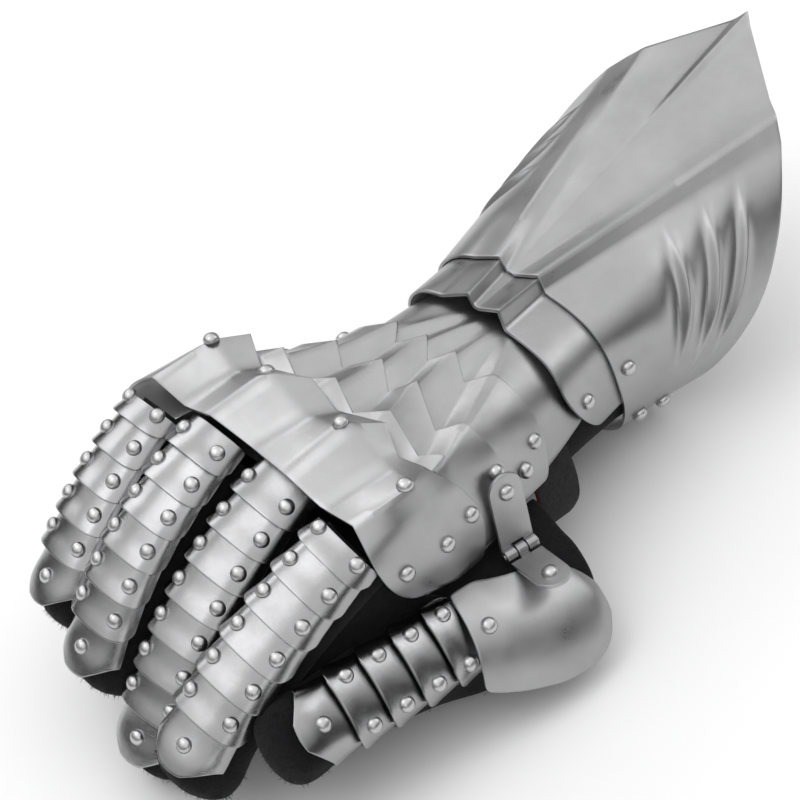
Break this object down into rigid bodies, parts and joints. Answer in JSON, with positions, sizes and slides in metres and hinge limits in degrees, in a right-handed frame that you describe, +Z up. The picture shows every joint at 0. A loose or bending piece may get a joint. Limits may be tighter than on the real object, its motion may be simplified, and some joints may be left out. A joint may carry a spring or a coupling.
{
  "type": "armoured gauntlet",
  "caption": "Plate gauntlet with flared pointed cuff, scalloped hand plates, lamed fingers and hinged thumb plate over a suede glove.",
  "frame": {"origin": "on the floor, under the middle of the bounding box", "axes": "+X towards the elbow end of the cuff, +Y towards the little finger, +Z up from the floor"},
  "size_m": [0.3466, 0.1716, 0.1093],
  "materials": {
    "plate_steel": "satin, fine scratches",
    "lame_steel": "polished",
    "suede": "black suede, matt and fuzzy",
    "strap_leather": "dark grey leather with red-brown cut edges"
  },
  "bodies": {
    "root": {"cuff": "plate_steel", "glove_hand": "suede", "glove_index": "suede", "glove_little": "suede", "glove_middle": "suede", "glove_ring": "suede", "glove_thumb": "suede", "hinge_lower_leaf": "plate_steel", "hinge_pin": "plate_steel", "hinge_upper_leaf": "plate_steel", "index_lame_1": "lame_steel", "index_lame_2": "lame_steel", "index_lame_3": "lame_steel", "index_lame_4": "lame_steel", "index_lame_5": "lame_steel", "index_lame_6": "lame_steel", "index_tip": "lame_steel", "knuckle_plate": "plate_steel", "little_lame_1": "lame_steel", "little_lame_2": "lame_steel", "little_lame_3": "lame_steel", "little_lame_4": "lame_steel", "little_lame_5": "lame_steel", "little_tip": "lame_steel", "metacarpal_plate_1": "plate_steel", "metacarpal_plate_2": "plate_steel", "metacarpal_plate_3": "plate_steel", "middle_lame_1": "lame_steel", "middle_lame_2": "lame_steel", "middle_lame_3": "lame_steel", "middle_lame_4": "lame_steel", "middle_lame_5": "lame_steel", "middle_lame_6": "lame_steel", "middle_lame_7": "lame_steel", "middle_tip": "lame_steel", "ring_lame_1": "lame_steel", "ring_lame_2": "lame_steel", "ring_lame_3": "lame_steel", "ring_lame_4": "lame_steel", "ring_lame_5": "lame_steel", "ring_lame_6": "lame_steel", "ring_tip": "lame_steel", "thumb_lame_1": "lame_steel", "thumb_lame_2": "lame_steel", "thumb_lame_3": "lame_steel", "thumb_lame_4": "lame_steel", "thumb_plate": "plate_steel", "thumb_tip": "lame_steel", "wrist_lame": "plate_steel", "wrist_plate": "plate_steel", "wrist_strap": "strap_leather"}
  },
  "joints": []
}
